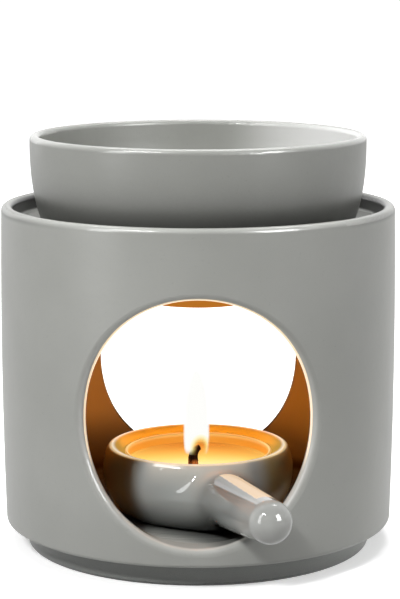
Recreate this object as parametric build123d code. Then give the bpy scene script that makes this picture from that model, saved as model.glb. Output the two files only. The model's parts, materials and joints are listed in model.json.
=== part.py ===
from build123d import *
import os
from math import cos, pi, radians, sin, sqrt, tan

# Essential oil burner: a round ceramic body with an opening through its front and back walls,
# an oil dish seated in a ledge under its rim, and a handled ceramic pot that holds a tealight.
# Millimetres. The origin is at the middle of the foot, on the table. +Z is up, the handle
# comes out of the front, at -Y.

# Body, one fired piece
body_radius = 52.0          # at the widest place of the slightly swelling wall
lower_draw = 0.7            # how much less the radius is at the lower edge
rim_draw = 0.4              # how much less it is at the rim
swell_height = 52.0         # height of the widest place above the table
body_wall = 3.6             # wall below the ledge
rim_wall = 3.0              # wall above the ledge
rim_rounding_share = 0.47   # of the rim's wall, on each side of it
lower_rounding = 1.0        # outer corner over the foot
inner_corner = 10.0         # hollow corner between the floor and the wall
floor_height = 8.6          # top of the floor above the table
floor_thickness = 5.0
foot_inset = 6.4            # foot's outer face behind the widest wall
foot_height = 6.3           # table to the underside of the wall
foot_wall = 5.5
foot_rounding = 0.9

# Opening, the same through both walls. Its outline is a circle laid round the curved wall.
opening_width = 58.7        # measured round the wall
opening_height = 62.1
opening_sill = 2.3          # lowest point above the floor
opening_lintel = 17.5       # highest point to the rim
opening_rounding = 1.8      # outer edge
opening_inner_rounding = 0.6
opening_points = 24

# Ledge that carries the dish
ledge_drop = 4.6            # below the rim
ledge_thickness = 4.0       # at its bore
ledge_slope = 35.0          # degrees, underside
ledge_rounding = 0.8

# Oil dish
dish_inset = 8.0            # its widest place inside the body's
dish_depth = 44.8           # rim to the lowest point outside
dish_wall = 2.6
dish_base = 3.2
dish_rise = 22.8            # rim above the ledge
dish_roundness = 2.55       # power of the oval that gives the profile
dish_points = 12
dish_clearance = 0.1        # between the dish and the corner of the ledge, before that is rounded

# Candle pot, with its handle in one piece
pot_forward = 4.0           # pot's axis in front of the body's axis
pot_bore_gap = 0.9          # round the tealight's sheet, in the straight bore
pot_mouth_gap = 2.6         # the same, at the rim
pot_mouth_depth = 3.4       # how far down the wall leans in
pot_mouth_rounding = 4.0    # where the leaning wall meets the straight bore
pot_wall = 3.8              # at the rim's height, to the widest place
pot_belly_height = 11.3     # widest place above the floor
pot_belly_curve = 16.2      # radius of the wall's curve
pot_base = 2.9
pot_cover = 1.6             # rim above the tealight's lip
pot_edge_rounding = 1.6
pot_bore_rounding = 1.5
pot_rim_rounding = 1.1

handle_turn = 13.9          # degrees from straight ahead towards +X
handle_rise = 7.8           # degrees above level
handle_root_height = 5.9    # handle's centre line above the floor, at the pot's axis
handle_start = 14.0         # from the pot's axis, inside the pot's wall and base
handle_reach = 71.0         # pot's axis to the centre of the round end
handle_start_radius = 7.4
handle_end_radius = 5.3
handle_blend = 2.2

# Tealight, a standard size
cup_radius = 19.0
cup_height = 13.5
cup_sheet = 0.3
cup_corner = 1.2
cup_lip_radius = 0.4
wax_clearance = 0.05        # between the wax and what it surrounds
wax_drop = 3.4              # wax level below the lip
sustainer_radius = 6.0
sustainer_sheet = 0.3
sustainer_neck_radius = 1.8
sustainer_neck_height = 3.0
wick_radius = 1.2
wick_clearance = 0.1
wick_rise = 2.0             # straight part above the wax
wick_bend_radius = 2.8
wick_bend = 62.0            # degrees
wick_back_offset = -2.6     # foot of the wick from the cup's axis, along Y
wick_side_offset = -1.3     # the same, along X

overrun = 1.0               # by which a cutter passes the face it cuts through
edge_match = 0.02           # how near an edge lies to the place where it is looked for
standing = (Align.CENTER, Align.CENTER, Align.MIN)
hanging = (Align.CENTER, Align.CENTER, Align.MAX)

# Heights and radii that follow from these
opening_middle = floor_height + opening_sill + opening_height / 2
body_height = floor_height + opening_sill + opening_height + opening_lintel
rim_radius = body_radius - rim_draw
lower_radius = body_radius - lower_draw
inner_radius = body_radius - body_wall
recess_radius = rim_radius - rim_wall
foot_radius = body_radius - foot_inset
ledge_height = body_height - ledge_drop
dish_rim_height = ledge_height + dish_rise
dish_lip_radius = dish_wall / 2
dish_shoulder = dish_rim_height - dish_lip_radius
dish_radius = body_radius - dish_inset
pot_bore = cup_radius + pot_bore_gap
pot_mouth = cup_radius + pot_mouth_gap
pot_radius = pot_mouth + pot_wall
pot_height = pot_base + cup_height + pot_cover
pot_floor_height = floor_height + pot_base
cup_lip_height = pot_floor_height + cup_height
cup_inner_radius = cup_radius - cup_sheet
wax_height = cup_lip_height - wax_drop
wick_foot_height = pot_floor_height + cup_sheet + sustainer_sheet


def oval_point(radius, depth, top, share):
    """Point of the dish's profile, at a share of the way from its rim to its lowest point."""
    turn = share * pi / 2
    across = radius * cos(turn) ** (2 / dish_roundness)
    down = depth * sin(turn) ** (2 / dish_roundness)
    return across, top - down


def dish_radius_at(height):
    """Outer radius of the dish at a height above the table."""
    depth = dish_depth - dish_lip_radius
    down_share = (dish_shoulder - height) / depth
    return dish_radius * (1 - down_share ** dish_roundness) ** (1 / dish_roundness)


def dish_side(radius, depth, reverse=False):
    """Profile curve of the dish, from its rim down to its axis, or back up."""
    shares = [i / dish_points for i in range(1, dish_points)]
    points = [(radius, dish_shoulder)]
    points += [oval_point(radius, depth, dish_shoulder, share) for share in shares]
    points += [(0, dish_shoulder - depth)]
    tangents = [(0, -1), (-1, 0)]
    if reverse:
        points.reverse()
        tangents = [(1, 0), (0, 1)]
    return Spline(*points, tangents=tangents)


def near(vertices, radius, height):
    """The profile's corner nearest to a radius and a height."""
    return vertices.sort_by_distance((radius, height, 0))[0]


def turned(face):
    """Solid of revolution of a profile drawn with radius along X and height along Y."""
    upright = Plane.XZ * face
    return revolve(upright, Axis.Z)


def make_body():
    """Wall, ledge, floor and foot, turned in one piece and cut by the two openings."""
    bore = dish_radius_at(ledge_height) + dish_clearance
    slope_drop = (inner_radius - bore) * tan(radians(ledge_slope))
    ledge_under = ledge_height - ledge_thickness
    underside = floor_height - floor_thickness
    foot_inner = foot_radius - foot_wall
    with BuildSketch() as profile:
        with BuildLine():
            Polyline((0, underside), (foot_inner, underside), (foot_inner, 0), (foot_radius, 0),
                     (foot_radius, foot_height), (lower_radius, foot_height))
            ThreePointArc((lower_radius, foot_height), (body_radius, swell_height),
                          (rim_radius, body_height))
            Polyline((rim_radius, body_height), (recess_radius, body_height),
                     (recess_radius, ledge_height), (bore, ledge_height), (bore, ledge_under),
                     (inner_radius, ledge_under - slope_drop), (inner_radius, floor_height),
                     (0, floor_height), (0, underside))
        make_face()
        corners = profile.vertices()
        fillet(near(corners, inner_radius, floor_height), inner_corner)
        fillet(near(profile.vertices(), lower_radius, foot_height), lower_rounding)
        rim_corners = [near(profile.vertices(), radius, body_height)
                       for radius in (rim_radius, recess_radius)]
        fillet(rim_corners, rim_wall * rim_rounding_share)
        ledge_corners = [near(profile.vertices(), bore, height)
                         for height in (ledge_height, ledge_under)]
        fillet(ledge_corners, ledge_rounding)
        fillet(near(profile.vertices(), recess_radius, ledge_height), ledge_rounding)
        foot_corners = [near(profile.vertices(), radius, 0) for radius in (foot_inner, foot_radius)]
        fillet(foot_corners, foot_rounding)
    body = turned(profile.sketch) - make_opening()
    body = fillet([edge for edge in opening_edges(body) if is_outer(edge)], opening_rounding)
    inner_edges = [edge for edge in opening_edges(body) if is_inner(edge)]
    return fillet(inner_edges, opening_inner_rounding)


def reach_of(edge):
    """Distance of an edge's middle from the body's axis."""
    point = edge @ 0.5
    return sqrt(point.X ** 2 + point.Y ** 2)


def opening_edges(body):
    """Edges that belong to the two openings."""
    low = floor_height + opening_sill - overrun
    high = body_height - opening_lintel + overrun
    wavy = body.edges().filter_by(GeomType.CIRCLE, reverse=True)
    return [edge for edge in wavy if low < (edge @ 0.5).Z < high]


def is_outer(edge):
    """True where an opening meets the outer face of the wall."""
    return reach_of(edge) > body_radius - body_wall / 2


def is_inner(edge):
    """True where an opening meets the inner face of the wall or the corner above the floor."""
    return reach_of(edge) < inner_radius + edge_match


def make_opening():
    """Cutter through the front and back walls, its outline a circle laid round the wall."""
    half_width = opening_width / 2
    half_height = opening_height / 2
    points = []
    for i in range(opening_points):
        turn = 2 * pi * i / opening_points
        across = body_radius * sin(half_width * cos(turn) / body_radius)
        points.append((across, opening_middle + half_height * sin(turn)))
    with BuildSketch(Plane.XZ) as outline:
        with BuildLine():
            Spline(*points, periodic=True)
        make_face()
    return extrude(outline.sketch, amount=body_radius + overrun, both=True)


def make_dish():
    """Round-bottomed dish with a full round lip."""
    inner = dish_radius - dish_wall
    with BuildSketch() as profile:
        with BuildLine():
            dish_side(dish_radius, dish_depth - dish_lip_radius)
            Line((0, dish_rim_height - dish_depth), (0, dish_rim_height - dish_depth + dish_base))
            dish_side(inner, dish_depth - dish_lip_radius - dish_base, reverse=True)
            ThreePointArc((inner, dish_shoulder),
                          (dish_radius - dish_lip_radius, dish_rim_height),
                          (dish_radius, dish_shoulder))
        make_face()
    return turned(profile.sketch)


def belly_radius_at(height):
    """Outer radius of the pot at a height above the floor it stands on."""
    off_belly = height - pot_belly_height
    return pot_radius - pot_belly_curve + sqrt(pot_belly_curve ** 2 - off_belly ** 2)


def make_handle():
    """Tapered round handle with a domed end, along a line through the pot's axis."""
    axis = Plane(origin=(0, 0, floor_height + handle_root_height),
                 x_dir=Vector(1, 0, 0).rotate(Axis.Y, -handle_rise).rotate(Axis.Z, handle_turn - 90),
                 z_dir=Vector(0, 0, 1).rotate(Axis.Y, -handle_rise).rotate(Axis.Z, handle_turn - 90))
    dome = (handle_reach + handle_end_radius * cos(pi / 4), handle_end_radius * sin(pi / 4))
    with BuildSketch() as profile:
        with BuildLine():
            Polyline((handle_reach + handle_end_radius, 0), (handle_start, 0),
                     (handle_start, handle_start_radius), (handle_reach, handle_end_radius))
            ThreePointArc((handle_reach, handle_end_radius), dome,
                          (handle_reach + handle_end_radius, 0))
        make_face()
    return axis * revolve(profile.sketch, Axis.X)


def make_pot():
    """Bellied pot and handle, fused, with the pot's inside cut afterwards."""
    top = floor_height + pot_height
    with BuildSketch() as profile:
        with BuildLine():
            ThreePointArc((belly_radius_at(0), floor_height),
                          (pot_radius, floor_height + pot_belly_height),
                          (belly_radius_at(pot_height), top))
            Polyline((belly_radius_at(pot_height), top), (0, top), (0, floor_height),
                     (belly_radius_at(0), floor_height))
        make_face()
        fillet(near(profile.vertices(), belly_radius_at(0), floor_height), pot_edge_rounding)
    outside = turned(profile.sketch)
    blank = outside + make_handle()
    joint = [edge for edge in blank.edges() if is_handle_joint(edge)]
    blank = fillet(joint, handle_blend)
    with BuildSketch() as hollow:
        with BuildLine():
            Polyline((0, pot_floor_height), (pot_bore, pot_floor_height),
                     (pot_bore, top - pot_mouth_depth), (pot_mouth, top), (pot_mouth, top + overrun),
                     (0, top + overrun), (0, pot_floor_height))
        make_face()
        fillet(near(hollow.vertices(), pot_bore, pot_floor_height), pot_bore_rounding)
        fillet(near(hollow.vertices(), pot_bore, top - pot_mouth_depth), pot_mouth_rounding)
    pot = blank - turned(hollow.sketch)
    rim = [edge for edge in pot.edges().filter_by(GeomType.CIRCLE)
           if abs((edge @ 0).Z - top) < edge_match and abs((edge @ 0.5).Z - top) < edge_match]
    return Pos(0, -pot_forward, 0) * fillet(rim, pot_rim_rounding)


def is_handle_joint(edge):
    """True for the seam between the pot's wall and the handle."""
    point = edge @ 0.5
    across = sqrt(point.X ** 2 + point.Y ** 2)
    wall = belly_radius_at(point.Z - floor_height)
    return edge.geom_type != GeomType.CIRCLE and abs(across - wall) < edge_match


def make_cup():
    """Pressed cup with a rolled lip."""
    low = pot_floor_height
    lip_middle = cup_lip_height - cup_lip_radius
    with BuildSketch() as profile:
        with BuildLine():
            Polyline((0, low), (cup_radius, low), (cup_radius, lip_middle),
                     (cup_inner_radius, lip_middle), (cup_inner_radius, low + cup_sheet),
                     (0, low + cup_sheet), (0, low))
        make_face()
        fillet(near(profile.vertices(), cup_radius, low), cup_corner)
        fillet(near(profile.vertices(), cup_inner_radius, low + cup_sheet), cup_corner - cup_sheet)
    with BuildSketch() as lip:
        with Locations((cup_inner_radius + cup_lip_radius, lip_middle)):
            Circle(cup_lip_radius)
    return Pos(0, -pot_forward, 0) * (turned(profile.sketch) + turned(lip.sketch))


def wick_place():
    """Where the wick's foot stands, over the cup's floor."""
    return Pos(wick_side_offset, wick_back_offset - pot_forward, 0)


def make_sustainer():
    """Metal disc with a short neck that grips the foot of the wick."""
    low = pot_floor_height + cup_sheet
    disc = Pos(0, 0, low) * Cylinder(sustainer_radius, sustainer_sheet, align=standing)
    neck = Pos(0, 0, low) * Cylinder(sustainer_neck_radius, sustainer_neck_height, align=standing)
    bore = wick_radius + wick_clearance
    hole = Pos(0, 0, wick_foot_height) * Cylinder(bore, sustainer_neck_height, align=standing)
    return wick_place() * (disc + neck - hole)


def make_wick():
    """Round cord, straight through the wax and bent over at its charred tip."""
    start = (0, 0, wick_foot_height)
    bend_height = wax_height + wick_rise
    bend = radians(wick_bend)
    tip = (wick_bend_radius * (1 - cos(bend)), 0, bend_height + wick_bend_radius * sin(bend))
    with BuildPart() as wick:
        with BuildLine():
            Line(start, (0, 0, bend_height))
            TangentArc((0, 0, bend_height), tip, tangent=(0, 0, 1))
        with BuildSketch(Plane(origin=start, z_dir=(0, 0, 1))):
            Circle(wick_radius)
        sweep()
    return wick_place() * wick.part


def make_wax():
    """Fill of the cup, with room for the sustainer and the wick."""
    low = pot_floor_height + cup_sheet + wax_clearance
    outer = cup_inner_radius - wax_clearance
    fill = Pos(0, 0, low) * Cylinder(outer, wax_height - low, align=standing)
    fill = fillet(fill.edges().sort_by(Axis.Z)[0], cup_corner - cup_sheet)
    disc_top = wick_foot_height + wax_clearance
    disc = Cylinder(sustainer_radius + wax_clearance, disc_top - low + overrun, align=hanging)
    neck_top = pot_floor_height + cup_sheet + sustainer_neck_height + wax_clearance
    neck = Cylinder(sustainer_neck_radius + wax_clearance, neck_top - low, align=hanging)
    bore = Cylinder(wick_radius + wax_clearance, wax_height - low + overrun, align=standing)
    room = Pos(0, 0, disc_top) * disc + Pos(0, 0, neck_top) * neck + Pos(0, 0, low) * bore
    return Pos(0, -pot_forward, 0) * fill - wick_place() * room


pieces = {
    "burner_body": make_body,
    "oil_dish": make_dish,
    "candle_holder": make_pot,
    "tealight_cup": make_cup,
    "wax": make_wax,
    "wick": make_wick,
    "wick_sustainer": make_sustainer,
}

os.makedirs("parts", exist_ok=True)
for name, make in pieces.items():
    export_step(make(), f"parts/{name}.step")
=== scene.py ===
import json
from math import cos, pi, radians, sin, tau

import bpy
import numpy as np
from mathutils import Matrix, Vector

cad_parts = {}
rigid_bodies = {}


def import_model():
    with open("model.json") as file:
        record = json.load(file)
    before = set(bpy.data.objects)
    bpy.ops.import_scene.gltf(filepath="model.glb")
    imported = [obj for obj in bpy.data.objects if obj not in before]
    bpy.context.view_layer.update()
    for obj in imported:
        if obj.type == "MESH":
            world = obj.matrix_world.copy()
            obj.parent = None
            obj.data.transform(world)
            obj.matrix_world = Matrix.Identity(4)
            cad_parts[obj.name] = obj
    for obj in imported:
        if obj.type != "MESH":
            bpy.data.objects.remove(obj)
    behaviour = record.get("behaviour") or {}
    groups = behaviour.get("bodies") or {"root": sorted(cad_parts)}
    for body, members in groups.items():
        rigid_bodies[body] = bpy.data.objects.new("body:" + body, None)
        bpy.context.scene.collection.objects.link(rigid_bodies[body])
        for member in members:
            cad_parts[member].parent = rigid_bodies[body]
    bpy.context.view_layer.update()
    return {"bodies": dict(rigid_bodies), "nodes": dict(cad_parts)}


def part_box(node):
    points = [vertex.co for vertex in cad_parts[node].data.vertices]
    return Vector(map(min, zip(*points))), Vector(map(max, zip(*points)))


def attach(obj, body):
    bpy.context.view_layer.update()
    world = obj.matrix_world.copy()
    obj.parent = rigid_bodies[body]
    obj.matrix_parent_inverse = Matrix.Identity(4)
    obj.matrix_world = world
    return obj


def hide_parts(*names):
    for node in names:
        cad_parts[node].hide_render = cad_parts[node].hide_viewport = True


# Essential oil burner, with its finishes and its lit candle. Metres, +Z up, the front at -Y.

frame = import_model()
nodes = frame["nodes"]

MM = 0.001
unlit = (0.0, 0.0, 0.0, 1.0)

# Candle, worked out from the frame
cup_low, cup_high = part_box("tealight_cup")
wax_low, wax_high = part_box("wax")
wick_low, wick_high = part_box("wick")
candle_x = (cup_low.x + cup_high.x) / 2
candle_y = (cup_low.y + cup_high.y) / 2
wax_radius = (wax_high.x - wax_low.x) / 2
wax_level = wax_high.z
wick_radius = (wick_high.y - wick_low.y) / 2
wick_x = wick_low.x + wick_radius
wick_y = (wick_low.y + wick_high.y) / 2

# Levels and inner widths of body, dish and cup
chamber_radius = 48.45 * MM
chamber_floor = 9.0 * MM
chamber_top = 84.0 * MM
recess_floor = 85.9 * MM
recess_radius = 48.6 * MM
foot_top = 6.3 * MM
body_rim = 90.5 * MM
dish_rim = 108.7 * MM
cup_inside = 18.75 * MM

# Fine relief of the glaze, and the shade painted into its hollows
peel_depth = 0.06 * MM
hollow_depth = 1.2
hollow_open = 0.92
painted_shade_tone = (0.004, 0.004, 0.003, 1.0)

# Painted flame tint and painted shade inside the chamber, darkest low beside the pot, and the painted
# flame tints of dish and mouth
dark_below = 8 * MM
light_above = 25 * MM
shade_lean = 0.08
flame_lit_glaze = (0.22, 0.176, 0.098, 1.0)
flame_shaded_glaze = (0.06, 0.037, 0.014, 1.0)
painted_deep_shade = (0.03, 0.015, 0.003, 1.0)
dish_flame_tint = (0.33, 0.25, 0.075, 1.0)
mouth_flame_tint = (0.17, 0.125, 0.02, 1.0)

# Other tones of the glaze, all but the cool one painted light and shade
painted_edge_light = (0.85, 0.85, 0.83, 1.0)
dish_inside_light = (0.8, 0.8, 0.79, 1.0)
cool_glaze = (0.45, 0.475, 0.46, 1.0)
pot_side_warm_shade = (0.42, 0.33, 0.16, 1.0)
pot_shoulder_light = (0.75, 0.72, 0.64, 1.0)

# Flame's painted light on the edges and surfaces near it, and painted highlights inside the dish and
# on the pot's shoulder
lit_edge = (0.85, 0.66, 0.42, 1.0)
shaded_edge = (0.10, 0.095, 0.085, 1.0)
dish_glow = (0.37, 0.095, 0.004, 1.0)
dish_inside_glow = (0.12, 0.12, 0.12, 1.0)
mouth_glow = (0.10, 0.075, 0.01, 1.0)
mouth_side_glow = (0.45, 0.26, 0.05, 1.0)
rim_glow = (0.45, 0.33, 0.16, 1.0)
rim_side_glow = (0.75, 0.60, 0.33, 1.0)
streak_glow = (0.6, 0.58, 0.54, 1.0)
cup_glow = (0.36, 0.15, 0.02, 1.0)
lip_glow = (0.46, 0.28, 0.09, 1.0)

# Pot and handle, the same form as the solid one, but with the handle drawn out of the wall
floor_level = 8.6 * MM
pot_forward = 4.0 * MM
pot_radius = 25.4 * MM
pot_height = 18.0 * MM
belly_height = 11.3 * MM
belly_curve = 16.2 * MM
bore_radius = 19.65 * MM
mouth_radius = 21.5 * MM
mouth_lean = radians(46)
pot_base = 2.9 * MM
pot_edge = 2.5 * MM
pot_rim = 2.2 * MM
handle_turn = radians(13.9)
handle_rise = radians(7.8)
handle_root = 5.9 * MM
handle_start = 14.0 * MM
handle_reach = 71.0 * MM
handle_start_radius = 7.4 * MM
handle_end_radius = 5.3 * MM
side_blend = 15.0 * MM
top_blend = 2.5 * MM
pot_pitch = 0.45 * MM
handle_foot = (0.0, -pot_forward, floor_level + handle_root)
handle_ahead = (sin(handle_turn) * cos(handle_rise), -cos(handle_turn) * cos(handle_rise),
                sin(handle_rise))

# Patch of warm light along the handle's top: its ends, and how the surface turns at its sides
patch_start = 30.5 * MM
patch_end = 66.5 * MM
patch_side = (0.437, 0.231, 0.869)
patch_front = (-0.868, -0.147, 0.476)
patch_turn = 0.735
patch_slant = 2.6
patch_glow = (0.82, 0.60, 0.40, 1.0)

# Flame, and the clear arch in it round the tip of the wick
flame_x = wick_x + 0.87 * MM
flame_top = 47.6 * MM
flame_foot = wax_level + 2.6 * MM
flame_height = flame_top - flame_foot
flame_radius = 3.4 * MM
flame_middle = (wick_x, wick_y, wax_level + 12 * MM)
arch_x = wick_x + 1.9 * MM
arch_level = wax_level + 4.5 * MM

# Lamps, which give shade and aren't mirrored: power, azimuth, elevation, width and height
lamps = {
    "left_lamp": (5.0, 34, 40, 0.14, 0.14),
    "right_side_lamp": (0.6, -60, 8, 0.25, 0.25),
    "low_left_lamp": (0.5, 100, 10, 0.25, 0.40),
    "low_right_lamp": (2.2, -100, 10, 0.25, 0.40),
    "overhead_lamp": (6.0, 0, 85, 0.50, 0.50),
    "back_lamp": (1.8, 180, 48, 0.30, 0.30),
}

# Panels, which are mirrored and give no shade, in the same terms
panels = {
    "left_streak": (5.0, 44, 48, 0.34, 0.05),
    "left_panel": (4.0, 56, 20, 0.25, 0.70),
    "right_panel": (9.0, -48, 28, 0.35, 0.45),
    "left_edge_panel": (0.5, 140, 10, 0.35, 0.90),
    "overhead_panel": (3.0, 180, 66, 0.80, 0.14),
}
light_distance = 0.9
light_target = Vector((0, 0, 50)) * MM

# Flame's own light on the chamber's walls
flame_tint = (1.0, 0.34, 0.04)
flame_light = 0.08
chamber_light = 0.05

# Floor and surroundings: the light they give, and how bright they are seen and mirrored
ambient = 0.1
ambient_behind = 0.35
floor_bounce = 0.32
floor_glow = 0.78
contact_shadow_glow = 0.62
mirrored_floor = 0.64
mirrored_world = 0.3
mirrored_behind = 1.6

# Camera, fitted to the burner's rims and foot
camera_place = Vector((0.5, -548.0, 158.7)) * MM
camera_pitch = 9.74
photo_height = 599
focal_pixels = 2098.3
sensor = 36.0


class Wire:
    """Output of a shader node. Arithmetic on it adds Math nodes."""

    def __init__(self, shader, socket):
        self.shader = shader
        self.socket = socket

    def maths(self, operation, *values):
        return self.shader.node("ShaderNodeMath", {"operation": operation}, list(values))

    def __add__(self, other):
        return self.maths("ADD", self, other)

    def __radd__(self, other):
        return self.maths("ADD", other, self)

    def __neg__(self):
        return self.maths("MULTIPLY", self, -1.0)

    def __sub__(self, other):
        return self.maths("SUBTRACT", self, other)

    def __rsub__(self, other):
        return self.maths("SUBTRACT", other, self)

    def __mul__(self, other):
        return self.maths("MULTIPLY", self, other)

    def __rmul__(self, other):
        return self.maths("MULTIPLY", other, self)

    def __truediv__(self, other):
        return self.maths("DIVIDE", self, other)

    def __pow__(self, other):
        return self.maths("POWER", self, other)

    def __abs__(self):
        return self.maths("ABSOLUTE", self)


class Shader:
    """Nodes of a new material, or of a given world, and the one way in which they are added."""

    def __init__(self, name, owner=None):
        self.owner = owner or bpy.data.materials.new(name)
        self.owner.use_nodes = True
        self.tree = self.owner.node_tree
        self.tree.nodes.clear()

    def node(self, kind, settings=None, inputs=None, output=0):
        """Adds a node, sets it up, fills its sockets by name or by order, and gives an output."""
        added = self.tree.nodes.new(kind)
        for key, value in (settings or {}).items():
            if key == "stops":
                self.set_stops(added.color_ramp, value)
            else:
                setattr(added, key, value)
        named = enumerate(inputs) if isinstance(inputs, list) else (inputs or {}).items()
        for key, value in named:
            if isinstance(value, Wire):
                self.tree.links.new(value.socket, added.inputs[key])
            else:
                added.inputs[key].default_value = value
        return Wire(self, added.outputs[output]) if added.outputs else None

    def set_stops(self, ramp, stops):
        """Colours of a ramp, as (place, colour) pairs."""
        while len(ramp.elements) < len(stops):
            ramp.elements.new(1.0)
        for element, (place, tone) in zip(ramp.elements, stops):
            element.position = place
            element.color = tone

    def place(self, kind="Object"):
        """Coordinates of the piece, in metres, or its normals, and their X, Y and Z."""
        where = self.node("ShaderNodeTexCoord", output=kind)
        return where, [self.node("ShaderNodeSeparateXYZ", None, [where], output=i) for i in range(3)]

    def ray(self, kind):
        """1 for rays of a kind, such as the camera's, and 0 for others."""
        return self.node("ShaderNodeLightPath", output=f"Is {kind} Ray")

    def vector(self, operation, *values, output=0):
        return self.node("ShaderNodeVectorMath", {"operation": operation}, list(values), output)

    def dot(self, first, second):
        return self.vector("DOT_PRODUCT", first, second, output="Value")

    def combine(self, *values):
        return self.node("ShaderNodeCombineXYZ", None, list(values))

    def most(self, greatest, *others):
        """Greatest of some values."""
        for other in others:
            greatest = greatest.maths("MAXIMUM", greatest, other)
        return greatest

    def noise(self, where, scale, detail=2.0, roughness=0.5):
        inputs = {"Vector": where, "Scale": scale, "Detail": detail, "Roughness": roughness}
        return self.node("ShaderNodeTexNoise", None, inputs)

    def openness(self, distance):
        """1 in the open, and less the more surface stands within a distance."""
        return self.node("ShaderNodeAmbientOcclusion", {"samples": 8}, {"Distance": distance}, "AO")

    def rising(self, value, low, high):
        """0 below low, 1 above high, smooth between."""
        settings = {"interpolation_type": "SMOOTHSTEP"}
        return self.node("ShaderNodeMapRange", settings, {0: value, 1: low, 2: high})

    def falling(self, value, low, high):
        """1 below low, 0 above high, smooth between."""
        return 1 - self.rising(value, low, high)

    def band(self, value, start, full, fading, end):
        """1 from full to fading, 0 before start and after end, smooth between."""
        return self.rising(value, start, full) * self.falling(value, fading, end)

    def straight(self, value, low, high, first=0.0, second=1.0):
        """First below low, second above high, in a straight line between."""
        return self.node("ShaderNodeMapRange", None, {0: value, 1: low, 2: high, 3: first, 4: second})

    def mix(self, share, first, second):
        """Colour between two colours."""
        inputs = {0: share, 6: first, 7: second}
        return self.node("ShaderNodeMix", {"data_type": "RGBA"}, inputs, output=2)

    def ramp(self, value, *stops):
        """Colour that follows a value through (place, colour) stops."""
        return self.node("ShaderNodeValToRGB", {"stops": stops}, [value])

    def bump(self, height, distance):
        return self.node("ShaderNodeBump", None, {"Height": height, "Distance": distance})

    def surface(self, inputs, dull=None):
        """Principled surface, joined to the material's output. It has no gloss where dull is 1."""
        shown = self.node("ShaderNodeBsdfPrincipled", None, inputs)
        if dull:
            glossless = {key: inputs[key] for key in ("Base Color", "Emission Color", "Normal")}
            glossless.update({"Roughness": 0.9, "Specular IOR Level": 0.0, "Emission Strength": 1.0})
            second = self.node("ShaderNodeBsdfPrincipled", None, glossless)
            shown = self.node("ShaderNodeMixShader", None, [dull, shown, second])
        self.node("ShaderNodeOutputMaterial", None, {"Surface": shown})
        return self.owner


class Glaze(Shader):
    """Warm grey glaze with slow tone changes, fine flecks and a faint orange-peel surface.

    It has shade painted into its hollows. Each ceramic piece adds its own marks, most of them painted
    light and shade, before the glaze is fired."""

    def __init__(self, name, light, dark, coat, hollow_reach):
        super().__init__(name)
        self.where, (self.x, self.y, self.height) = self.place()
        self.normal, self.turned_to = self.place("Normal")
        clouds = self.noise(self.where, 28.0, 3.0)
        flecks = self.rising(self.noise(self.where, 1400.0, 2.0, 0.6), 0.66, 0.74)
        self.tone = self.mix(self.rising(clouds, 0.32, 0.68), dark, light)
        self.paint(flecks * 0.12, colour(96, 96, 92))
        self.rough = 0.34 + 0.08 * self.noise(self.where, 60.0)
        self.peel = self.noise(self.where, 220.0)
        self.grain = self.noise(self.where, 900.0)
        # Painted shade: the glaze is darker where other surface stands near
        self.shade = self.straight(self.openness(hollow_reach), 0.0, hollow_open) ** hollow_depth
        self.coat = coat
        self.glow = unlit

    def paint(self, share, tone):
        """Covers the glaze by a share of another tone."""
        self.tone = self.mix(share, self.tone, tone)

    def light_up(self, share, tone):
        """Makes the glaze glow in a tone by a share."""
        self.glow = self.mix(share, self.glow, tone)

    def clear(self, *shares):
        """Takes the hollows' shade away where a share is 1."""
        self.shade = self.most(self.shade, *shares)

    def coat_rim(self, low, high, share=1.0):
        """Glossier above a height on a rim, less so at the back."""
        rim = self.rising(self.height, low, high) * 0.6 * share
        self.coat = rim * (1 - 0.8 * self.rising(self.y, -5 * MM, 20 * MM)) + self.coat

    def outward(self, radius):
        """1 where the surface is turned away from the burner's axis, -1 where it is turned to it."""
        across, along, _ = self.turned_to
        return (across * self.x + along * self.y) / radius

    def facing_flame(self):
        """1 where the surface is turned towards the flame, 0 where it is turned away."""
        towards = self.vector("NORMALIZE", self.vector("SUBTRACT", flame_middle, self.where))
        return self.rising(self.dot(towards, self.normal), -0.2, 0.05)

    def fired(self, dull, coat_rough=0.08, gloss=0.5, depth=peel_depth):
        """The finished material. It has no gloss where dull is 1."""
        return self.surface({
            "Base Color": self.mix(self.shade, painted_shade_tone, self.tone),
            "Roughness": self.rough,
            "IOR": 1.5,
            "Specular IOR Level": gloss,
            "Coat Weight": self.coat,
            "Coat Roughness": coat_rough,
            "Emission Color": self.glow,
            "Emission Strength": 1.0,
            "Normal": self.bump(self.peel + 0.25 * self.grain, depth),
        }, dull)


def colour(red, green, blue):
    """Colour from the 0 to 255 values of a screen."""
    return (*(linear(channel / 255) for channel in (red, green, blue)), 1.0)


def linear(channel):
    if channel <= 0.04045:
        return channel / 12.92
    return ((channel + 0.055) / 1.055) ** 2.4


def span(first, second):
    """Length of a line with two parts at right angles."""
    return (first * first + second * second) ** 0.5


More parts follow.
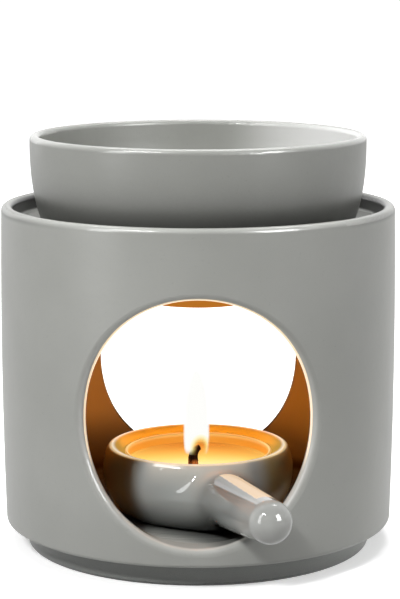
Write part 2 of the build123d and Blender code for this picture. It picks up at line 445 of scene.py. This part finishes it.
def body_glaze():
    """Body: a painted flame tint and painted shade in the chamber, with the flame's painted light on
    the edge of the opening.
    """
    glaze = Glaze("body_glaze", colour(171, 172, 167), colour(164, 165, 160), 0.12, 7 * MM)
    x, y, height = glaze.x, glaze.y, glaze.height
    radius = span(x, y)
    past_wall = radius - chamber_radius
    over_floor = height - chamber_floor
    outward = glaze.outward(radius)

    # Chamber's wall and ceiling: a painted warm tint for the flame's light, with painted shade that
    # deepens low down beside the pot
    inside = glaze.falling(past_wall, 0.0, 0.4 * MM)
    raised = glaze.rising(over_floor, 0.2 * MM, 1.5 * MM)
    below = glaze.falling(height, chamber_top, chamber_top + 1 * MM)
    low_front = glaze.rising(-y, 10 * MM, 25 * MM) * glaze.falling(over_floor, 3 * MM, 6 * MM)
    flame_painted = inside * raised * below * (1 - low_front)
    out_of_shade = glaze.rising(height + x * shade_lean, dark_below, light_above)
    glaze.paint(flame_painted, glaze.mix(out_of_shade, flame_shaded_glaze, flame_lit_glaze))

    # Cut edge of the openings, with the flame's painted light on it, painted light on its outer
    # rounding and painted shade at the back
    open_edge = glaze.rising(past_wall, 0.6 * MM, 1.4 * MM) * below
    glaze.clear(flame_painted, open_edge)
    lit_tone = glaze.mix(glaze.rising(height, 28 * MM, 36 * MM), shaded_edge, lit_edge)
    glaze.light_up(glaze.facing_flame() * open_edge * glaze.falling(y, 0.0, 10 * MM), lit_tone)
    rounding = glaze.falling(outward, 0.6, 0.97)
    # Painted shade on the back opening's cut edge, low down
    at_back = glaze.band(past_wall, -0.6 * MM, -0.1 * MM, 1.8 * MM, 3 * MM) * rounding
    at_back = at_back * glaze.rising(outward, -0.97, -0.8) * glaze.rising(y, 0.0, 20 * MM)
    at_back = at_back * below * glaze.falling(height, 22 * MM, 34 * MM)
    rounding = rounding * open_edge * glaze.rising(over_floor, 0.0, 2 * MM)
    glaze.coat = glaze.coat + rounding * 0.2
    # Painted light: the opening's outer rounding is painted lighter, more so higher up
    glaze.paint(rounding * (0.12 + 0.18 * glaze.rising(height, 22 * MM, 36 * MM)), painted_edge_light)
    glaze.paint(at_back * 0.95, painted_deep_shade)

    # Chamber's floor, with fine turned rings
    on_floor = inside * (1 - raised)
    rings = glaze.noise(glaze.combine(radius, 0.0, 0.0), 900.0)
    glaze.paint(on_floor * 0.8, colour(214, 218, 213))
    glaze.paint(on_floor * glaze.rising(rings, 0.45, 0.6) * 0.4, colour(120, 120, 116))
    # Painted shadow on the floor behind the pot
    behind_pot = inside * glaze.rising(y, -12 * MM, 12 * MM)
    behind_pot = behind_pot * glaze.falling(over_floor, 1.5 * MM, 4 * MM)
    glaze.paint(behind_pot * 0.92, painted_deep_shade)
    glaze.grain = glaze.grain + on_floor * rings * 6

    # Recess, foot, rim and the bare clay under the foot, with painted shade in the recess, on the
    # foot and on the rim's shoulders at the sides
    recess = glaze.rising(height, recess_floor + 0.4 * MM, recess_floor + 1 * MM)
    recess = recess * glaze.falling(radius, recess_radius + 0.1 * MM, recess_radius + 0.9 * MM)
    glaze.paint(recess * 0.75, painted_shade_tone)
    glaze.paint(glaze.falling(height, foot_top - 0.6 * MM, foot_top) * 0.12, painted_shade_tone)
    aside = glaze.rising(abs(x) / radius, 0.6, 0.95)
    shoulder = glaze.rising(height, body_rim - 2.5 * MM, body_rim - 1.2 * MM)
    glaze.paint(aside * shoulder * 0.35, painted_shade_tone)
    glaze.coat_rim(body_rim - 1.8 * MM, body_rim - 0.9 * MM, 1 - 0.75 * aside)
    bare = glaze.falling(height, 0.05 * MM, 0.2 * MM)
    glaze.paint(bare, colour(205, 196, 180))
    glaze.rough = glaze.rough + bare * 0.45
    glaze.grain = glaze.grain + bare * glaze.noise(glaze.where, 2500.0, 3.0) * 3
    return glaze.fired(glaze.most(flame_painted, at_back, behind_pot))


def dish_glaze():
    """Dish: a painted flame tint and the flame's painted light underneath, and painted light on the
    right of its inside.
    """
    glaze = Glaze("dish_glaze", colour(158, 159, 154), colour(150, 151, 146), 0.12, 16 * MM)
    across, _, upward = glaze.turned_to
    flame_painted = glaze.rising(-upward, 0.35, 0.8)
    flame_painted = flame_painted * glaze.falling(glaze.height, chamber_top - 1 * MM, chamber_top + 1 * MM)
    # Painted flame tint and painted light on the underside
    glaze.paint(flame_painted, dish_flame_tint)
    glaze.light_up(flame_painted, dish_glow)
    # Painted light on the right of the inside
    inward = glaze.rising(-glaze.outward(span(glaze.x, glaze.y)), 0.2, 0.6)
    lit_right_inside = inward * glaze.rising(-across, 0.1, 1.0)
    glaze.paint(lit_right_inside * 0.9, dish_inside_light)
    glaze.light_up(lit_right_inside, dish_inside_glow)
    glaze.clear(flame_painted)
    glaze.coat_rim(dish_rim - 1.7 * MM, dish_rim - 0.7 * MM)
    return glaze.fired(flame_painted)


def pot_glaze():
    """Pot and handle: glossier, with a painted flame tint and the flame's painted light in the mouth
    and on the rim, and painted shade and painted highlights on wall and handle.
    """
    glaze = Glaze("pot_glaze", colour(182, 183, 179), colour(176, 177, 173), 1.0, 12 * MM)
    x, height = glaze.x, glaze.height
    forward = glaze.y + pot_forward
    radius = span(x, forward)
    front = -forward / radius
    over_base = height - floor_level
    over_rim = over_base - pot_height
    past_wall = radius - pot_radius

    # Wall, from its cool front to its sides in warm painted shade, with painted light on the
    # shoulder, and mouth
    flame_painted = glaze.falling(radius, mouth_radius + 0.2 * MM, mouth_radius + 1.6 * MM)
    flame_painted = flame_painted * glaze.rising(over_base, pot_base, pot_base + 1 * MM)
    cool = glaze.falling(radius, handle_reach - 16 * MM, handle_reach - 5 * MM)
    glaze.paint(cool, cool_glaze)
    on_handle = glaze.rising(past_wall, 2 * MM, 8 * MM)
    # Painted shade makes the handle darker than the pot
    glaze.paint(cool * on_handle * 0.28, painted_shade_tone)
    # Painted light on the front of the shoulder
    near_rim = glaze.straight(over_base, 10.9 * MM, 17.9 * MM) ** 1.5
    near_rim = near_rim * glaze.rising(front, 0.80, 0.90) * glaze.falling(past_wall, 1 * MM, 4 * MM)
    glaze.paint(near_rim, pot_shoulder_light)
    # Painted warm shade on the sides
    glaze.paint(glaze.falling(front, 0.62, 0.82), pot_side_warm_shade)
    glaze.paint(flame_painted * 0.95, mouth_flame_tint)
    glaze.clear(glaze.rising(over_base, 11 * MM, 16 * MM))

    # Handle's top, darkened by painted shade, with a painted highlight: its patch of warm light
    glaze.paint(on_handle * glaze.rising(glaze.turned_to[2], 0.1, 0.8) * 0.3, painted_shade_tone)
    down_handle = glaze.dot(glaze.vector("SUBTRACT", glaze.where, handle_foot), handle_ahead)
    past_side = glaze.dot(glaze.normal, patch_side) - patch_turn
    patch = glaze.rising(past_side + (down_handle - patch_start) * patch_slant, -0.02, 0.02)
    patch = patch * glaze.rising(glaze.dot(glaze.normal, patch_front), -0.25, -0.15)
    patch = patch * glaze.band(down_handle, patch_start - 0.5 * MM, patch_start,
                               patch_end, patch_end + 0.7 * MM)
    glaze.paint(patch * 0.8, painted_shade_tone)
    glaze.coat = glaze.coat * (1 - patch * 0.8)

    # Flame's painted light in the mouth and on the rim, and a painted highlight as a streak on the
    # shoulder
    sideways = glaze.band(front, -0.8, -0.1, 0.5, 0.85)
    glaze.light_up(flame_painted, glaze.mix(sideways, mouth_glow, mouth_side_glow))
    on_rim = glaze.rising(over_rim, -0.5 * MM, -0.15 * MM) * glaze.falling(past_wall, 0.0, 1 * MM)
    glaze.light_up(on_rim * (1 - flame_painted), glaze.mix(sideways, rim_glow, rim_side_glow))
    streak = glaze.band(over_rim, -1.1 * MM, -0.8 * MM, -0.5 * MM, -0.2 * MM)
    streak = streak * glaze.band(-x / radius, 0.1, 0.35, 0.44, 0.50) * glaze.rising(front, 0.5, 0.6)
    glaze.light_up(streak, streak_glow)
    glaze.light_up(patch, patch_glow)
    return glaze.fired(flame_painted, coat_rough=0.03, gloss=0.0, depth=peel_depth * 0.3)


def cup_metal():
    """Thin bright aluminium with fine rings from the press, painted with a warm tint and glow for the
    flame's light inside and at the lip.
    """
    shader = Shader("cup_metal")
    _, (x, y, z) = shader.place()
    streaks = shader.noise(shader.combine(x * 0.2, y * 0.2, z * 12), 1600.0, 3.0)
    within = shader.falling(span(x, y + pot_forward), cup_inside, cup_inside + 0.1 * MM)
    lip = shader.rising(z, wax_level + 2.2 * MM, wax_level + 2.8 * MM)
    plain = shader.mix(streaks, colour(205, 205, 205), colour(232, 232, 230))
    glow = shader.mix(within, unlit, cup_glow)
    return shader.surface({
        # Painted flame light: a warm tint and a glow inside and at the lip
        "Base Color": shader.mix(shader.most(within, lip), plain, colour(215, 176, 104)),
        "Roughness": 0.34 + 0.2 * streaks,
        "Metallic": 1.0,
        "Emission Color": shader.mix(lip, glow, lip_glow),
        "Emission Strength": 1.0,
        "Normal": shader.bump(streaks, 0.03 * MM),
    })


def sustainer_metal():
    """Dull tinned steel."""
    shader = Shader("sustainer_metal")
    where, _ = shader.place()
    patches = shader.noise(where, 700.0, 3.0)
    return shader.surface({
        "Base Color": shader.mix(patches, colour(150, 150, 150), colour(185, 185, 182)),
        "Roughness": 0.35 + 0.25 * patches,
        "Metallic": 1.0,
        "Normal": shader.bump(patches, 0.03 * MM),
    })


def molten_wax():
    """Warm translucent wax with a painted glow for the flame's light, brightest at the front and
    duller towards the cup.
    """
    shader = Shader("molten_wax")
    where, (x, y, _) = shader.place()
    swirl = shader.noise(where, 120.0)
    backward = shader.straight(y + 2 * MM * swirl, -14 * MM, 16 * MM)
    glow = shader.ramp(backward, (0.0, colour(250, 244, 186)), (0.25, colour(252, 233, 146)),
                       (0.5, colour(252, 214, 104)), (0.8, colour(240, 168, 72)),
                       (1.0, colour(214, 126, 44)))
    by_cup = shader.rising(span(x - wick_x, y - wick_y), 13 * MM, 21 * MM)
    return shader.surface({
        "Base Color": shader.mix(swirl, (0.030, 0.020, 0.008, 1.0), (0.045, 0.030, 0.012, 1.0)),
        "Roughness": 0.12 + 0.1 * swirl,
        "IOR": 1.44,
        "Specular IOR Level": 0.3,
        "Emission Color": shader.mix(by_cup * 0.35, glow, colour(214, 126, 44)),
        "Emission Strength": 0.9,
        "Normal": shader.bump(swirl, 0.05 * MM),
    })


def burnt_cotton():
    """Charred cord, with a painted glow at its foot."""
    shader = Shader("burnt_cotton")
    where, (_, _, z) = shader.place()
    lengthwise = shader.vector("MULTIPLY", where, (1.0, 1.0, 0.15))
    fibres = shader.rising(shader.noise(lengthwise, 2200.0), 0.35, 0.65)
    foot_glow = shader.falling(z, wax_level + 0.2 * MM, wax_level + 1.7 * MM)
    glow = shader.mix(fibres, colour(50, 10, 0), colour(200, 110, 50))
    return shader.surface({
        "Base Color": shader.mix(fibres, colour(12, 6, 6), colour(52, 26, 16)),
        "Roughness": 0.85,
        "Specular IOR Level": 0.1,
        "Emission Color": shader.mix(foot_glow, colour(14, 0, 0), glow),
        "Emission Strength": 1.0,
        "Normal": shader.bump(fibres, 0.12 * MM),
    })


def candle_flame(name):
    """Glowing gas: white, with a clear yellow arch round the tip of the wick."""
    shader = Shader(name)
    where, (x, _, z) = shader.place()
    waver = shader.noise(where, 300.0) * 0.1
    drop = shader.most(arch_level - z, 0.0)
    aside = (x - arch_x + drop * 0.4) / (2.8 * MM)
    above = (z - arch_level) / (4.2 * MM)
    away = span(aside, above) + waver - 0.05
    foot = shader.rising(z, flame_foot, flame_foot + 2.2 * MM)
    if name == "flame_body":
        tone = shader.ramp(away, (0.3, colour(255, 196, 96)), (0.6, colour(255, 232, 140)),
                           (0.85, colour(255, 252, 215)), (1.05, colour(255, 255, 253)))
        thickness = shader.rising(away, 0.25, 0.95) * foot
    else:
        tone = shader.ramp(away, (0.4, colour(255, 226, 140)), (1.0, colour(255, 250, 222)),
                           (2.0, colour(254, 254, 250)))
        thickness = shader.rising(away, 0.5, 1.2) * foot * 0.45
    return shader.surface({
        "Base Color": unlit,
        "Roughness": 1.0,
        "Specular IOR Level": 0.0,
        "Emission Color": tone,
        "Emission Strength": 1.0,
        "Alpha": thickness,
    })


def new_piece(name, points, faces, material, body, stands_for=()):
    """Smooth mesh that rides on a body, in place of CAD nodes if any are given."""
    mesh = bpy.data.meshes.new(name)
    mesh.from_pydata(points, [], faces)
    mesh.materials.append(material)
    mesh.update()
    for polygon in mesh.polygons:
        polygon.use_smooth = True
    piece = bpy.data.objects.new(name, mesh)
    bpy.context.scene.collection.objects.link(piece)
    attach(piece, body)
    if stands_for:
        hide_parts(*stands_for)
    return piece


def turned(profile, around, sides):
    """Points and faces of a profile of (radius, height) turned about an upright axis.

    The profile starts and ends on the axis, and its ends become single points."""
    points = [Vector((*around, profile[0][1]))]
    for radius, height in profile[1:-1]:
        for side in range(sides):
            turn = tau * side / sides
            points.append(Vector((around[0] + radius * cos(turn), around[1] + radius * sin(turn),
                                  height)))
    points.append(Vector((*around, profile[-1][1])))
    last = len(points) - 1
    rings = len(profile) - 2
    faces = []
    for side in range(sides):
        beside = (side + 1) % sides
        faces.append((0, 1 + beside, 1 + side))
        for ring in range(rings - 1):
            low = 1 + ring * sides
            high = low + sides
            faces.append((low + side, low + beside, high + beside, high + side))
        top = 1 + (rings - 1) * sides
        faces.append((top + side, top + beside, last))
    return points, faces


def make_wax():
    """Fill of the cup, molten on top, with a raised edge where it wets the metal."""
    edge_rise = 0.7 * MM
    edge_reach = 1.6 * MM
    edge_fall = 2.718
    corner = 0.9 * MM
    dip = 0.5 * MM
    steps = 24
    profile = [(0.0, wax_low.z), (wax_radius - corner, wax_low.z),
               (wax_radius, wax_low.z + corner), (wax_radius, wax_level + edge_rise)]
    for i in range(1, steps + 1):
        radius = wax_radius * (1 - i / steps)
        reach = (wax_radius - radius) / edge_reach
        height = wax_level - dip + edge_rise * edge_fall ** -reach + dip * (radius / wax_radius) ** 2
        profile.append((radius, height))
    points, faces = turned(profile, (candle_x, candle_y), 96)
    new_piece("molten_wax", points, faces, molten_wax(), "tealight", ["wax"])


def smooth_min(first, second, reach):
    """Lesser of two distances, with the corner between them filled over a reach."""
    near = np.maximum(reach - np.abs(first - second), 0.0) / reach
    return np.minimum(first, second) - near ** 3 * reach / 6


def smooth_max(first, second, reach):
    return -smooth_min(-first, -second, reach)


def handle_distance(x, y, z):
    """Distance to the tapered handle, and the height above its middle."""
    ahead = handle_ahead
    along = x * ahead[0] + y * ahead[1] + (z - handle_root) * ahead[2]
    place = np.clip(along, handle_start, handle_reach)
    share = (place - handle_start) / (handle_reach - handle_start)
    radius = handle_start_radius + (handle_end_radius - handle_start_radius) * share
    across = x - place * ahead[0]
    back = y - place * ahead[1]
    over = z - handle_root - place * ahead[2]
    return np.sqrt(across ** 2 + back ** 2 + over ** 2) - radius, over


def pot_distance(x, y, z):
    """Distance to the pot's surface, less than 0 inside the clay. The pot stands at height 0."""
    radius = np.hypot(x, y)
    wall = np.hypot(radius - pot_radius + belly_curve, z - belly_height) - belly_curve
    handle, over = handle_distance(x, y, z)
    upper = np.clip(over / handle_start_radius, 0.0, 1.0)
    clay = smooth_min(wall, handle, side_blend + (top_blend - side_blend) * upper)
    clay = smooth_max(clay, -z, pot_edge)
    past_wall = np.maximum(radius - pot_radius - 3 * MM, 0.0)
    clay = smooth_max(clay, z - pot_height - past_wall * 0.6, pot_rim)
    mouth = (radius - mouth_radius) * cos(mouth_lean) - (z - pot_height) * sin(mouth_lean)
    hollow = smooth_max(smooth_min(radius - bore_radius, mouth, pot_rim), pot_base - z, pot_rim)
    return smooth_max(clay, -hollow, pot_rim)


def level_surface(distance, low, high, pitch):
    """Points and quads of the surface where a distance is 0, found on a grid of cells."""
    axes = [np.arange(start, end + pitch, pitch) for start, end in zip(low, high)]
    value = distance(*np.meshgrid(*axes, indexing="ij"))
    inside = value < 0
    shape = tuple(count - 1 for count in value.shape)
    sums = np.zeros(shape + (3,))
    counts = np.zeros(shape)
    corners = [(i, j, k) for i in (0, 1) for j in (0, 1) for k in (0, 1)]
    for corner in corners:
        for axis in range(3):
            if corner[axis] == 1:
                continue
            other = tuple(step + (i == axis) for i, step in enumerate(corner))
            here, there = (value[tuple(slice(step, step + size) for step, size in zip(ends, shape))]
                           for ends in (corner, other))
            crossed = (here < 0) != (there < 0)
            share = np.where(crossed, here / np.where(crossed, here - there, 1), 0)
            for i in range(3):
                sums[..., i] += np.where(crossed, corner[i] + share * (i == axis), 0)
            counts += crossed
    cells = counts > 0
    numbers = np.full(shape, -1)
    numbers[cells] = np.arange(cells.sum())
    origin = np.array([axis[0] for axis in axes])
    points = (np.argwhere(cells) + sums[cells] / counts[cells][:, None]) * pitch + origin
    faces = []
    for axis in range(3):
        first, second = (np.take(inside, range(start, inside.shape[axis] - 1 + start), axis)
                         for start in (0, 1))
        for outward, found in ((True, first & ~second), (False, ~first & second)):
            quad = []
            for steps in ((-1, -1), (0, -1), (0, 0), (-1, 0)):
                cell = np.argwhere(found)
                cell[:, (axis + 1) % 3] += steps[0]
                cell[:, (axis + 2) % 3] += steps[1]
                quad.append(numbers[cell[:, 0], cell[:, 1], cell[:, 2]])
            quad = np.stack(quad, 1)
            faces.append(quad if outward else quad[:, ::-1])
    return settle(points, distance, pitch * 0.05), np.concatenate(faces)


def settle(points, distance, step):
    """Moves points along the slope of a distance until they lie where it is 0."""
    for _ in range(4):
        slope = np.stack([distance(*(points + move).T) - distance(*(points - move).T)
                          for move in np.eye(3) * step], 1) / (2 * step)
        steepness = np.maximum((slope ** 2).sum(1), 0.05)
        points = points - slope * (distance(*points.T) / steepness)[:, None]
    return points


def make_pot(material):
    """Pot and handle as one smooth form, so that the handle grows out of the pot's wall."""
    low = (-27 * MM, -78 * MM, -1.5 * MM)
    high = (27 * MM, 27 * MM, 24 * MM)
    points, faces = level_surface(pot_distance, low, high, pot_pitch)
    points += (0, -pot_forward, floor_level)
    new_piece("handled_pot", points.tolist(), faces.tolist(), material, "holder",
              ["candle_holder"])


def wick_line(share):
    """Middle of the wick: straight up, then bent over towards +X. Share runs from 0 to 1."""
    straight = 1.6 * MM
    bend_radius = 3.4 * MM
    bend = radians(62)
    foot = Vector((wick_x, wick_y, wick_low.z))
    rise = wax_level + straight - wick_low.z
    whole = rise + bend_radius * bend
    along = share * whole
    if along <= rise:
        return foot + Vector((0, 0, along)), Vector((0, 0, 1))
    turn = (along - rise) / bend_radius
    middle = foot + Vector((bend_radius * (1 - cos(turn)), 0, rise + bend_radius * sin(turn)))
    return middle, Vector((sin(turn), 0, cos(turn)))


def make_wick():
    """Plaited cord: round strands twisted together, drawn in and frayed at the tip."""
    rings = 120
    sides = 48
    strands = 6
    twists = 3.2
    points = []
    faces = []
    for ring in range(rings + 1):
        share = ring / rings
        middle, ahead = wick_line(share)
        beside = Vector((0, 1, 0))
        over = beside.cross(ahead).normalized()
        taper = 1.06 - 0.5 * max(0.0, (share - 0.7) / 0.3) ** 1.4
        if ring == rings:
            taper *= 0.55
        for side in range(sides):
            turn = tau * side / sides
            strand = abs(sin(strands / 2 * (turn + twists * tau * share)))
            radius = wick_radius * taper * (0.96 + 0.12 * strand)
            points.append(middle + radius * (cos(turn) * over + sin(turn) * beside))
    for ring in range(rings):
        low = ring * sides
        high = low + sides
        for side in range(sides):
            following = (side + 1) % sides
            faces.append((low + side, low + following, high + following, high + side))
    faces.append(tuple(range(sides - 1, -1, -1)))
    faces.append(tuple(rings * sides + side for side in range(sides)))
    new_piece("plaited_wick", points, faces, burnt_cotton(), "tealight", ["wick"])


def flame_profile(foot, height, radius):
    """Open foot, nearly straight sides and a rounded, drawn-out tip."""
    steps = 64
    widest = 0.2
    profile = []
    for i in range(steps + 1):
        share = i / steps
        if share < widest:
            across = radius * (0.9 + 0.1 * sin(share / widest * pi / 2))
        else:
            across = radius * (1 - ((share - widest) / (1 - widest)) ** 3) ** 0.65
        profile.append((across, foot + height * share))
    profile[0] = (0.0, foot)
    profile[-1] = (0.0, foot + height)
    return profile


def make_flame():
    """White body of the flame and its pale edge."""
    layers = {
        "flame_edge": (flame_height, flame_radius),
        "flame_body": (flame_height - 0.7 * MM, flame_radius - 0.35 * MM),
    }
    for name, (height, radius) in layers.items():
        points, faces = turned(flame_profile(flame_foot, height, radius), (flame_x, wick_y), 64)
        layer = new_piece(name, points, faces, candle_flame(name), "tealight")
        layer.visible_shadow = False
        layer.visible_diffuse = False


def add_light(name, kind, place, power, tint):
    light = bpy.data.lights.new(name, kind)
    light.energy = power
    light.color = tint
    holder = bpy.data.objects.new(name, light)
    holder.location = place
    bpy.context.scene.collection.objects.link(holder)
    return holder


def facing_light(name, power, azimuth, elevation, width, height, mirrored):
    """Lit rectangle that faces the burner. Azimuth 0 is in front of it and 90 at its left.

    It is seen as a reflection if it is mirrored, and gives shade if not."""
    turn = radians(azimuth)
    rise = radians(elevation)
    away = Vector((-sin(turn) * cos(rise), -cos(turn) * cos(rise), sin(rise)))
    light = add_light(name, "AREA", light_target + away * light_distance, power, (1.0, 1.0, 1.0))
    light.data.shape = "RECTANGLE"
    light.data.size = width
    light.data.size_y = height
    light.rotation_euler = (-away).to_track_quat("-Z", "Y").to_euler()
    light.visible_diffuse = not mirrored
    light.visible_glossy = mirrored


def backward_light(name, place, power, radius):
    """Flame's light on the chamber's walls. It keeps off what stands in front of the flame."""
    light = add_light(name, "SPOT", place, power, flame_tint)
    light.data.spot_size = radians(172)
    light.data.spot_blend = 0.3
    light.data.shadow_soft_size = radius
    light.rotation_euler = Vector((0, 1, 0.2)).to_track_quat("-Z", "Y").to_euler()
    light.visible_glossy = False
    light.parent = frame["bodies"]["tealight"]


def make_lights():
    """Soft boxes round the burner, and the flame's own light."""
    for group, mirrored in ((lamps, False), (panels, True)):
        for name, values in group.items():
            facing_light(name, *values, mirrored)
    middle, _ = wick_line(0.9)
    for i, share in enumerate((0.15, 0.3, 0.45)):
        place = (middle.x, middle.y, flame_foot + flame_height * share)
        backward_light(f"flame_light_{i + 1}", place, flame_light / 3, 2.5 * MM)
    for side, name in ((-1, "left_glow"), (1, "right_glow")):
        backward_light(name, Vector((side * 10, -2, 42)) * MM, chamber_light / 2, 6 * MM)


def make_floor():
    """Plain pale floor, which keeps the burner's shadow and is seen darker near the burner, a painted
    contact shadow.
    """
    reach = 30.0
    mesh = bpy.data.meshes.new("floor")
    corners = [(-reach, -reach, 0), (reach, -reach, 0), (reach, reach, 0), (-reach, reach, 0)]
    mesh.from_pydata(corners, [], [(0, 1, 2, 3)])
    shader = Shader("floor")
    camera_ray = shader.ray("Camera")
    paint = shader.mix(camera_ray, (floor_bounce, floor_bounce, floor_bounce, 1.0),
                       (0.85, 0.85, 0.85, 1.0))
    white = shader.node("ShaderNodeBsdfDiffuse", None, {"Color": paint})
    _, (x, y, _) = shader.place()
    seen = floor_glow + shader.rising(span(x, y), 0.1, 0.5) * (1 - floor_glow)
    # Painted contact shadow: the floor is seen darker where the burner stands near
    seen = seen * shader.straight(shader.openness(22 * MM), 0.2, 0.9, contact_shadow_glow, 1.0)
    strength = camera_ray * seen + shader.ray("Glossy") * mirrored_floor
    glow = shader.node("ShaderNodeEmission", None, {"Strength": strength})
    both = shader.node("ShaderNodeAddShader", None, [white, glow])
    shader.node("ShaderNodeOutputMaterial", None, {"Surface": both})
    mesh.materials.append(shader.owner)
    floor = bpy.data.objects.new("floor", mesh)
    bpy.context.scene.collection.objects.link(floor)


def make_world():
    """White surroundings that are seen and mirrored, and light the burner softly."""
    world = bpy.data.worlds.new("surroundings")
    bpy.context.scene.world = world
    shader = Shader("surroundings", world)
    camera_ray = shader.ray("Camera")
    mirror_ray = shader.ray("Glossy")
    through_ray = shader.ray("Transmission")
    lighting_ray = 1 - shader.most(camera_ray, mirror_ray, through_ray)
    _, (_, y, _) = shader.place("Generated")
    ahead = ambient_behind + (1 - ambient_behind) * shader.rising(-y, -0.1, 0.6)
    behind = shader.rising(y, -0.2, 0.4)
    mirrored = mirror_ray * (mirrored_world + behind * (mirrored_behind - mirrored_world))
    strength = camera_ray + through_ray + mirrored + lighting_ray * ambient * ahead
    back = shader.node("ShaderNodeBackground", None, {"Strength": strength})
    shader.node("ShaderNodeOutputWorld", None, [back])


def make_camera():
    """View of the photograph."""
    optics = bpy.data.cameras.new("camera")
    optics.sensor_width = sensor
    optics.lens = sensor * focal_pixels / photo_height
    optics.clip_start = 0.01
    camera = bpy.data.objects.new("camera", optics)
    camera.location = camera_place
    camera.rotation_euler = (radians(90 - camera_pitch), 0, 0)
    bpy.context.scene.collection.objects.link(camera)
    bpy.context.scene.camera = camera


def finish_node(name, material):
    """Gives a CAD node its material."""
    mesh = nodes[name].data
    mesh.materials.clear()
    mesh.materials.append(material)


make_camera()
finish_node("burner_body", body_glaze())
finish_node("oil_dish", dish_glaze())
pot_finish = pot_glaze()
finish_node("candle_holder", pot_finish)
finish_node("tealight_cup", cup_metal())
finish_node("wick_sustainer", sustainer_metal())
make_pot(pot_finish)
make_wax()
make_wick()
make_flame()
make_floor()
make_world()
make_lights()

bpy.context.scene.view_settings.view_transform = "Standard"
